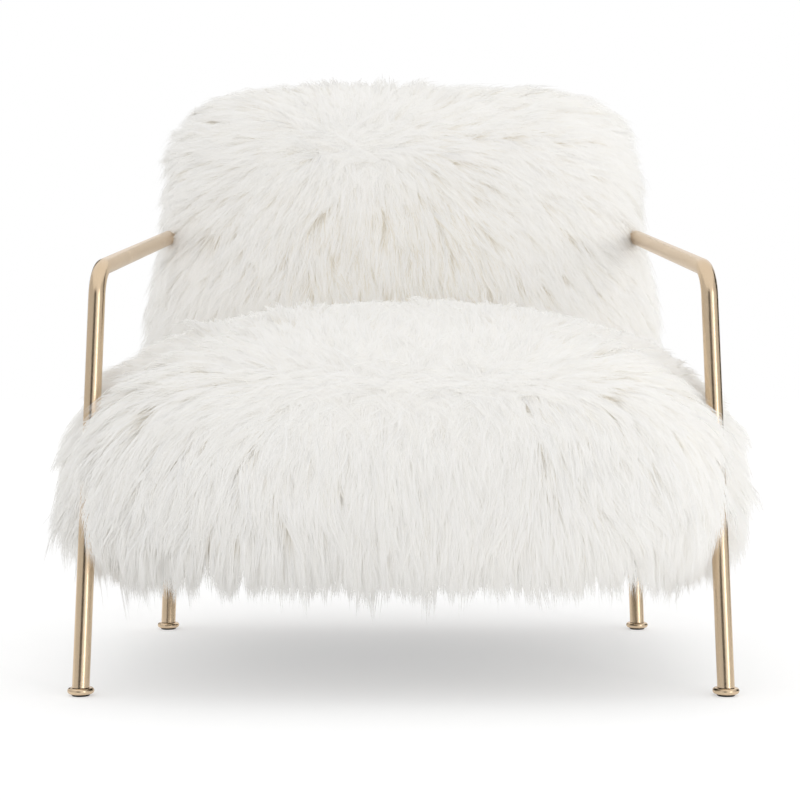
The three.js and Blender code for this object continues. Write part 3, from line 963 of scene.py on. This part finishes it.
# Share and wavelength of a slow ripple, and the share of chance
LIFT_UNEVENNESS = (0.25, 0.05, 0.16)
LENGTH_UNEVENNESS = (0.10, 0.045, 0.08)
PART_LIFT = 6
PART_PALENESS = 0.7
LIFT_DEGREES = (18, 24)
FLATTENING = 0.85
LOCK_SWAY = 0.10
NUDGE = 1e-6
FUR_DROOP = 0.30
FUR_HANG = 2.0
HANG_FACING = (0.15, 0.8)
TURNED_LEVEL = 1.6
TURNED_FACING = (0.0, 0.5)
LOCK_LOFT = (0.003, 0.006)
LOFT_AHEAD = 0.25
NEIGHBOUR_GAP = 0.003
GATHER_SHAPE = 1.7
STRAY_SHARE = 0.14
STRAY_SPREAD = 0.6
STRAND_STRETCH = (0.74, 1.08)
STRAND_RAISE = (-0.0015, 0.0045)
STRAND_WAVE = 0.0016
STRAND_WAVE_ANGLE = (3, 7)
STRAND_WIDTHS = (0.7, 1.3)
STRAND_TWIST = math.radians(20)
STRAND_ROUNDNESS = 0.2


def facing_out(normals, points):
    """The skin's directions, turned level where they point down: fur that hangs there faces out."""
    level = unit(points * np.array([1, 1, 0]))
    return unit(normals + TURNED_LEVEL * ease(-normals[:, 2:], *TURNED_FACING) * level)


def uneven(points, unevenness, seed, rng):
    """About 1: a slow ripple over the surface, and chance at each point."""
    share, wavelength, chance = unevenness
    return 1 + share * ripple(points, wavelength, seed) + rng.normal(0, chance, len(points))


def grow_locks(points, coat):
    """The middle line of each lock of fur from root to tip, the skin's direction, the paleness.

    A lock leaves the skin at its lift over the combed direction, turned by slow ripples and a
    little chance, and bends towards the skin and down as it goes.
    """
    form, seed, count = coat.form, coat.seed, len(points)
    rng = np.random.default_rng(seed)
    _, normals = form.outward(points)
    heading = coat.comb(points, normals)
    across = np.cross(normals, heading)
    near = 1 - ease(from_parting(coat.parting, points), 0.0, PART_WIDTH)
    chance = rng.normal(0, 1, count) * (TURN_DEGREES + PART_TURN_DEGREES * near)
    turn = sum(degrees * ripple(points, wavelength, seed + k)
               for k, (degrees, wavelength) in enumerate(TURN_RIPPLES, start=1))
    turn = np.radians(turn + chance)[:, None]
    heading = np.cos(turn) * heading + np.sin(turn) * across
    lift = coat.lift * uneven(points, LIFT_UNEVENNESS, seed + 3, rng) + PART_LIFT * near
    length = coat.length * uneven(points, LENGTH_UNEVENNESS, seed + 4, rng)
    curl = rng.normal(0, 1, (count, 2))[:, :1]
    # Some locks by chance keep the root colour further towards their tips: painted crease shade
    pale = np.maximum(coat.pale - coat.creases * rng.exponential(1, count), PART_PALENESS * near)
    here = points - ROOT_DEPTH * normals
    places = [here]
    outward = [facing_out(normals, points)]
    for low, high in zip(STRAND_LEVELS, STRAND_LEVELS[1:]):
        share = (low + high) / 2
        angle = np.radians(lift * (1 - FLATTENING * share))[:, None]
        _, away = form.outward(here)
        level = unit(along(away, heading) + NUDGE)
        sway = LOCK_SWAY * math.sin(math.pi * 2 * share) * curl * np.cross(away, level)
        hang = FUR_DROOP * share + FUR_HANG * ease(-away[:, 2:], *HANG_FACING)
        go = np.cos(angle) * level + np.sin(angle) * away + sway + hang * DOWN
        here = here + unit(go) * (length * (high - low))[:, None]
        height, away = form.outward(here)
        loft = LOCK_LOFT[0] + LOCK_LOFT[1] * math.sin(math.pi * min(share + LOFT_AHEAD, 1))
        here = here + np.maximum(loft - height, 0)[:, None] * away
        here = held_off(coat.neighbour, here, NEIGHBOUR_GAP)
        places.append(here)
        outward.append(facing_out(away, here))
    return np.stack(places, axis=1), np.stack(outward, axis=1), pale


def grow_strands(locks, outward, gathering, seed):
    """Flat tapering strands round each lock's middle line, gathered towards its tip.

    A strand's points are the lock's, moved by the strand's own offset, which shrinks to a part of
    itself at the tip. Each strand is three levels of point pairs and a tip. The last result is 1
    on a strand at the lock's edge and falls with the fourth power of the distance to its middle.
    """
    rng = np.random.default_rng(seed)
    count = len(locks) * STRANDS_PER_LOCK
    each = (count, 1, 1)
    middle = np.repeat(locks, STRANDS_PER_LOCK, axis=0)
    normal = np.repeat(outward, STRANDS_PER_LOCK, axis=0)
    level = STRAND_LEVELS[None, :, None]
    root = middle[:, :1]
    middle = root + (middle - root) * rng.uniform(*STRAND_STRETCH, each)
    across = unit(np.cross(normal[:, :1], unit(middle[:, 1:2] - root)))
    along_skin = np.cross(across, normal[:, :1])
    angle = rng.uniform(0, 2 * math.pi, each)
    radius = np.sqrt(rng.random(each))
    offset = LOCK_RADIUS * radius * (np.cos(angle) * across + np.sin(angle) * along_skin)
    stray = rng.random(each) < STRAY_SHARE
    gather = np.where(stray, 1 + STRAY_SPREAD * level, 1 - gathering * level ** GATHER_SHAPE)
    raise_by = rng.uniform(*STRAND_RAISE, each) * level
    wave = rng.normal(0, STRAND_WAVE, each) * np.sin(level * rng.uniform(*STRAND_WAVE_ANGLE, each))
    points = clear_of_tubes(middle + offset * gather + raise_by * normal + wave * across)
    tangent = unit(np.gradient(points, axis=1))
    flat = unit(np.cross(tangent, normal))
    twist = rng.normal(0, STRAND_TWIST, each)
    flat = (np.cos(twist) * flat + np.sin(twist) * np.cross(flat, tangent))[:, :3]
    half = STRAND_WIDTH / 2 * rng.uniform(*STRAND_WIDTHS, each) * STRAND_WIDTH_SHARES * flat
    lean = STRAND_ROUNDNESS * flat
    paired, facing = points[:, :3], normal[:, :3]
    pairs = np.stack([paired - half, paired + half], axis=2).reshape(count, 6, 3)
    turned = np.stack([unit(facing - lean), unit(facing + lean)], axis=2).reshape(count, 6, 3)
    vertices = np.concatenate([pairs, points[:, 3:]], axis=1)
    normals = np.concatenate([turned, normal[:, 3:]], axis=1)
    # The last result is the mask for the painted crease shade at each lock's edge
    return vertices, normals, np.where(stray, 0, radius ** 4)[:, 0]


def fur_piece(name, vertices, normals, pale, cream, seed):
    """One panel of fur: two quads and a tip on each strand, its shading normals and its lanes."""
    count = len(vertices)
    base = np.arange(count)[:, None] * 7
    quads = np.concatenate([base + np.array([0, 1, 3, 2]), base + np.array([2, 3, 5, 4])])
    tips = base + np.array([4, 5, 6])
    piece = make_mesh(name, vertices.reshape(-1, 3), [quads, tips], fur)
    mesh = piece.data
    lane = np.random.default_rng(seed).integers(0, FUR_LANES, count)[:, None]
    u = (lane + np.array([*LANE_SIDES * 3, 0.5])) / FUR_LANES
    height = 1 - (1 - np.repeat(STRAND_LEVELS, 2)[:7]) * (1 - pale[:, None])
    # Painted crease shade lowers the height in the map, so the root colour reaches further up the
    # strand
    v = np.maximum(height, 0) * (1 - cream)
    corners = np.concatenate([quads.ravel(), tips.ravel()])
    lanes = np.stack([u.ravel(), v.ravel()], axis=-1)[corners]
    layer = mesh.uv_layers.new(name=FUR_MAP)
    layer.uv.foreach_set("vector", lanes.astype(np.float32).ravel())
    shading = mesh.attributes.new("custom_normal", "FLOAT_VECTOR", "POINT")
    shading.data.foreach_set("vector", normals.astype(np.float32).ravel())
    piece.visible_shadow = False
    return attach(piece, "chair")


# The fur's panels

SEAT_TOP_LEVEL = 0.355
SEAT_FRONT_DEPTH = FRONT + 0.06
SEAT_TOP_DEPTH = FRONT + 0.19
SEAT_REAR_DEPTH = FRONT + 0.44
BACK_FORE_DEPTH = 0.07
BACK_SIDE_WIDTH = 0.20
BACK_UPPER_HEIGHT = 0.52
BACK_TOP_HEIGHT = 0.5


def panels(cushion, x, halved, whole):
    """The roots of each fur panel by its name: zones split down the middle, then whole ones."""
    named = {f"{cushion}_fur_{zone}_{hand}": chosen & ((x < 0) == (side < 0))
             for zone, chosen in halved.items() for hand, side in SIDES}
    named.update({f"{cushion}_fur_{zone}": chosen for zone, chosen in whole.items()})
    return named


def seat_panels(points):
    x, y, z = points.T
    top = z > SEAT_TOP_LEVEL
    front = ~top & (y < SEAT_FRONT_DEPTH)
    rear = ~top & (y > SEAT_REAR_DEPTH)
    return panels("seat", x, {
        "front": front, "top_front": top & (y < SEAT_TOP_DEPTH),
        "top": top & (y >= SEAT_TOP_DEPTH), "side": ~top & ~front & ~rear}, {"rear": rear})


def back_panels(points):
    x, up, out = back_form.local(points).T
    fore = out > BACK_FORE_DEPTH
    side = ~fore & (np.abs(x) > BACK_SIDE_WIDTH)
    top = ~fore & ~side & (out >= 0) & (up > BACK_TOP_HEIGHT)
    return panels("back", x, {
        "lower": fore & (up < BACK_UPPER_HEIGHT), "upper": fore & (up >= BACK_UPPER_HEIGHT),
        "side": side}, {"top": top, "rear": ~fore & ~side & ~top})


def cover_with_fur(points, zones, coat):
    locks, outward, pale = grow_locks(points, coat)
    for k, (name, chosen) in enumerate(zones.items(), start=coat.seed + 10):
        vertices, normals, crease_shade_mask = grow_strands(locks[chosen], outward[chosen], coat.gathering, k)
        strand_pale = np.repeat(pale[chosen], STRANDS_PER_LOCK)
        # Painted crease shade: the strands at a lock's edge keep the root colour further up
        cream = np.repeat(coat.cream[chosen], STRANDS_PER_LOCK)[:, None] * crease_shade_mask
        fur_piece(name, vertices, normals, strand_pale, cream, k + 30)


seat_points = seat_roots()
back_points = back_roots()
cover_with_fur(seat_points, seat_panels(seat_points), SimpleNamespace(
    form=seat_form, neighbour=back_form, comb=seat_comb, parting=SEAT_PARTING,
    length=seat_length(seat_points), lift=graded(seat_points[:, 2], SEAT_LOW_LEVELS, LIFT_DEGREES),
    # The next two lines set the painted crease shade: on some locks by chance, and at every lock's
    # edge
    pale=0.35, creases=0.15,
    cream=np.full(len(seat_points), 0.40), gathering=0.75, seed=SEED + 100))
cover_with_fur(back_points, back_panels(back_points), SimpleNamespace(
    form=back_form, neighbour=seat_form, comb=back_comb, parting=BACK_PARTING,
    length=back_length(back_points), lift=graded(
        back_form.local(back_points)[:, 2], BACK_FRONT_DEPTHS, LIFT_DEGREES),
    # The next two lines set the painted crease shade: on some locks by chance, and at every lock's
    # edge
    pale=0.10, creases=0.40,
    cream=back_cream(back_points), gathering=0.86, seed=SEED + 200))


# The dust cloth under the seat board, pulled flat

DUST_CORNER_SHAPE = 9
DUST_SHARES = np.concatenate([np.linspace(1, 0.9, 5), np.linspace(0.86, 0, 18)])[:, None, None]
DUST_RIM_STEPS = 144


def dust_sheet():
    """The cloth's outline, a rounded oblong that narrows to the rear, carried in to its middle.

    The outline's corners are x = sign(cos a) |cos a|^(2/n), and the same in y with the sine.
    """
    depth = dust_high.y - dust_low.y
    half_front = dust_high.x
    half_rear = half_front - TOE_IN * depth
    angle = np.linspace(0, 2 * math.pi, DUST_RIM_STEPS, endpoint=False)
    x, y = (np.sign(turn) * np.abs(turn) ** (2 / DUST_CORNER_SHAPE)
            for turn in (np.cos(angle), np.sin(angle)))
    half = half_front + (half_rear - half_front) * (y + 1) / 2
    middle = np.array([0, (dust_low.y + dust_high.y) / 2, 0])
    rim = np.stack([x * half, middle[1] + y * depth / 2, np.zeros_like(x)], axis=-1)
    sheet = middle + (rim - middle)[None] * DUST_SHARES
    under = sheet - dust_low.z * DOWN
    over = sheet - dust_high.z * DOWN
    piece = closed_piece("dust_cloth_sheet", np.concatenate([under[::-1], over]), cloth,
                         sharp=True)
    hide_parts("seat_dust_cover")
    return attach(piece, "chair")


dust_sheet()


# Studio: white sweep, soft lamps and the camera

CAMERA_DISTANCE = 1.960
CAMERA_HEIGHT = 0.367
CAMERA_SIDE = -0.0037
CAMERA_PITCH = math.radians(1.273)
WORLD_LEVEL = 0.88
WHITE = (1, 1, 1)
FLOOR_COLOUR = (0.97, 0.97, 0.97)
FLOOR_OWN_LIGHT = 0.40
FLOOR_GLOW = 1.1
FLOOR_NEAR = 1.2
FLOOR_FAR = 4.5
FLOOR_HALF = 14.0
CARD_FOOT = 0.01
ONE_FACE = [np.array([[0, 1, 2, 3]])]
CHAIR_MIDDLE = np.array([0, 0, 0.35])
UNSEEN_RAYS = ("camera", "diffuse", "transmission", "volume_scatter", "shadow")

# Name, place, size across and up, power, and whether the brass mirrors it
LAMPS = (
    ("overhead_lamp", (0, 0.3, 3.4), (3.0, 3.0), 16, False),
    ("front_lamp", (0.3, -3.9, 1.3), (3.0, 2.4), 6, False),
    ("left_lamp", (-3.2, 0.1, 0.9), (2.0, 1.8), 11, False),
    ("right_lamp", (3.2, -0.6, 1.1), (2.0, 1.8), 13, False),
    ("right_strip_lamp", (3.7, -4.73, 1.5), (1.2, 4.0), 46, True),
)

# Name, angle round the chair from the camera's side, distance, width, height and shade
CARDS = (
    ("front_card", -14, 6.0, 3.4, 4.4, 0.01),
    ("left_card", -80, 5.0, 11.0, 4.4, 0.68),
    ("left_rear_card", -150, 3.6, 1.2, 2.6, 0.01),
    ("right_card", 76, 5.0, 5.0, 4.4, 0.72),
    ("right_rear_card", 118, 3.6, 2.4, 2.6, 0.01),
    ("low_rear_card", 180, 4.8, 5.0, 0.45, 0.40),
)

scene = bpy.context.scene
scene.view_settings.view_transform = "Standard"
scene.cycles.diffuse_bounces = 12

camera = bpy.data.objects.new("camera", bpy.data.cameras.new("camera"))
camera.data.sensor_width = 36
camera.data.lens = 81
camera.location = (CAMERA_SIDE, FRONT - CAMERA_DISTANCE, CAMERA_HEIGHT)
camera.rotation_euler = (math.pi / 2 - CAMERA_PITCH, 0, 0)
scene.collection.objects.link(camera)
scene.camera = camera


def seen_directly(finish):
    """1 for the camera, for reflections and for what shows through, 0 for light on surfaces."""
    seen = finish.add("ShaderNodeLightPath", output="Is Camera Ray")
    for kind in ("Is Glossy Ray", "Is Transmission Ray"):
        also = finish.add("ShaderNodeLightPath", output=kind)
        seen = seen.worked("MAXIMUM", also)
    return seen


def world_light():
    """White where it is seen, a little less where it lights the chair."""
    world = bpy.data.worlds.new("studio")
    scene.world = world
    finish = Finish(world)
    light, white = (
        finish.add("ShaderNodeBackground", inputs={"Color": as_colour(WHITE), "Strength": strength})
        for strength in (WORLD_LEVEL, 1.0))
    mixed = finish.add("ShaderNodeMixShader", inputs={0: seen_directly(finish), 1: light, 2: white})
    finish.add("ShaderNodeOutputWorld", inputs={"Surface": mixed})


def floor_finish():
    """White paper that keeps a soft shadow.

    A share of its white is its own light where it is seen, and far off all of it is.
    """
    finish = Finish("studio_floor")
    paper = finish.add("ShaderNodeBsdfDiffuse", inputs={"Color": as_colour(FLOOR_COLOUR)})
    glow = finish.add("ShaderNodeEmission", inputs={
        "Color": as_colour(WHITE), "Strength": FLOOR_GLOW})
    place = finish.add("ShaderNodeTexCoord", output="Object")
    distance = finish.add("ShaderNodeVectorMath", {"operation": "LENGTH"}, {0: place},
                          output="Value")
    far = finish.eased(distance, FLOOR_NEAR, FLOOR_FAR)
    own = seen_directly(finish) * (FLOOR_OWN_LIGHT + (1 - FLOOR_OWN_LIGHT) * far)
    return finish.surface(finish.add("ShaderNodeMixShader", inputs={0: own, 1: paper, 2: glow}))


def soft_lamp(name, place, size, power, in_reflections):
    lamp = bpy.data.objects.new(name, bpy.data.lights.new(name, "AREA"))
    lamp.data.shape = "RECTANGLE"
    lamp.data.size, lamp.data.size_y = size
    lamp.data.energy = power
    lamp.location = place
    aim = unit(CHAIR_MIDDLE - np.array(place))
    lamp.rotation_euler = (math.acos(-aim[2]), 0, math.atan2(-aim[0], aim[1]))
    lamp.visible_camera = False
    lamp.visible_glossy = in_reflections
    scene.collection.objects.link(lamp)


def reflected_card(name, azimuth, distance, width, height, shade):
    """A card that only shows in the brass."""
    finish = Finish(name)
    paint = finish.add("ShaderNodeBsdfDiffuse", inputs={"Color": as_colour((shade,) * 3)})
    angle = math.radians(azimuth)
    foot = np.array([math.sin(angle), -math.cos(angle), 0]) * distance - DOWN * CARD_FOOT
    half = np.array([math.cos(angle), math.sin(angle), 0]) * width / 2
    rise = -DOWN * height
    corners = np.array([foot - half, foot + half, foot + half + rise, foot - half + rise])
    card = make_mesh(name, corners, ONE_FACE, finish.surface(paint))
    for rays in UNSEEN_RAYS:
        setattr(card, f"visible_{rays}", False)


world_light()
floor_corners = np.array([[-1, -1, 0], [1, -1, 0], [1, 1, 0], [-1, 1, 0]]) * FLOOR_HALF
floor = make_mesh("studio_floor", floor_corners, ONE_FACE, floor_finish())
for lamp in LAMPS:
    soft_lamp(*lamp)
for card in CARDS:
    reflected_card(*card)
